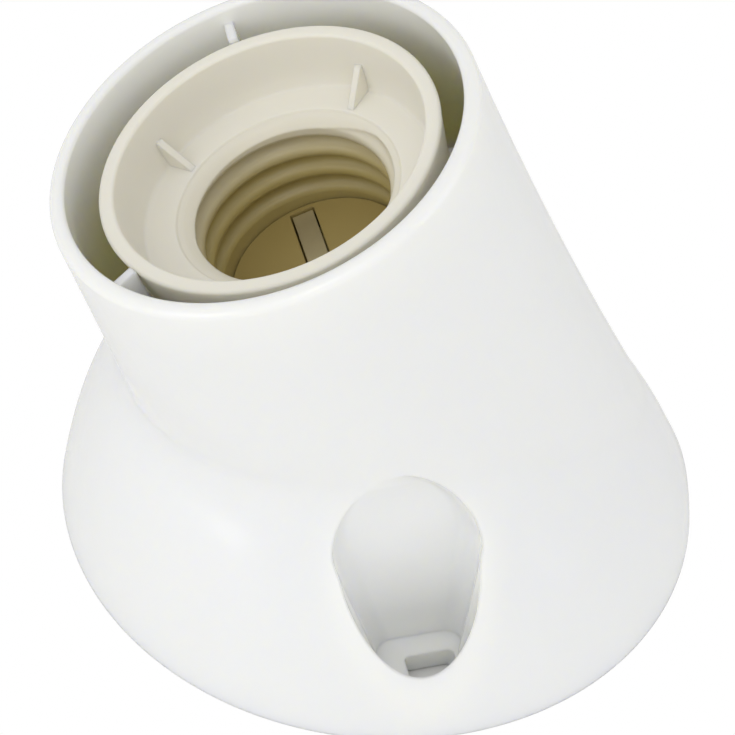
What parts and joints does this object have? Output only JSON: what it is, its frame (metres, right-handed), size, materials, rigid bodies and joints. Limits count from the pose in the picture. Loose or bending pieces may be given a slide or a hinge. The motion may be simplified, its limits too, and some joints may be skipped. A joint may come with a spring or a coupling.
{
  "type": "lamp holder",
  "caption": "Surface-mounted E27 lamp holder with a leaning neck on a round domed base and a flared screw recess on each side.",
  "frame": {"origin": "centre of the round base on the mounting plane", "axes": "+Z out of the mounting surface, the neck leans towards -X, the two fixing recesses lie on -Y and +Y"},
  "size_m": [0.0884, 0.0884, 0.0735],
  "materials": {
    "housing": "gloss white moulding",
    "insert": "satin ivory moulding",
    "carrier": "satin ivory moulding",
    "contact_brass": "rolled strip",
    "terminal_brass": "machined",
    "screw_steel": "zinc plated"
  },
  "bodies": {
    "holder": {"housing": "housing", "thread_insert": "insert", "contact_carrier": "carrier", "line_terminal": "terminal_brass", "neutral_terminal": "terminal_brass", "line_rivet": "terminal_brass", "neutral_rivet": "terminal_brass", "carrier_screw_a": "screw_steel", "carrier_screw_b": "screw_steel"},
    "centre_leaf": {"centre_contact": "contact_brass"},
    "shell_leaf": {"shell_contact": "contact_brass"},
    "line_clamp": {"line_screw": "screw_steel"},
    "neutral_clamp": {"neutral_screw": "screw_steel"}
  },
  "joints": [
    {"name": "centre_contact_flex", "type": "hinge", "parent": "holder", "child": "centre_leaf", "pos_m": [-0.00724, 0.009, 0.03339], "axis": [0.9311, 0, 0.3649], "range_deg": [0, 5], "stiffness_Nm_per_rad": 0.4, "springref_deg": -2.86},
    {"name": "shell_contact_flex", "type": "hinge", "parent": "holder", "child": "shell_leaf", "pos_m": [-0.00724, -0.009, 0.03339], "axis": [0.9311, 0, 0.3649], "range_deg": [0, 6.5], "stiffness_Nm_per_rad": 0.5, "springref_deg": -1.72},
    {"name": "line_screw_travel", "type": "slide", "parent": "holder", "child": "line_clamp", "axis": [0.3649, 0, -0.9311], "range_m": [0, 0.003]},
    {"name": "neutral_screw_travel", "type": "slide", "parent": "holder", "child": "neutral_clamp", "axis": [0.3649, 0, -0.9311], "range_m": [0, 0.003]}
  ]
}
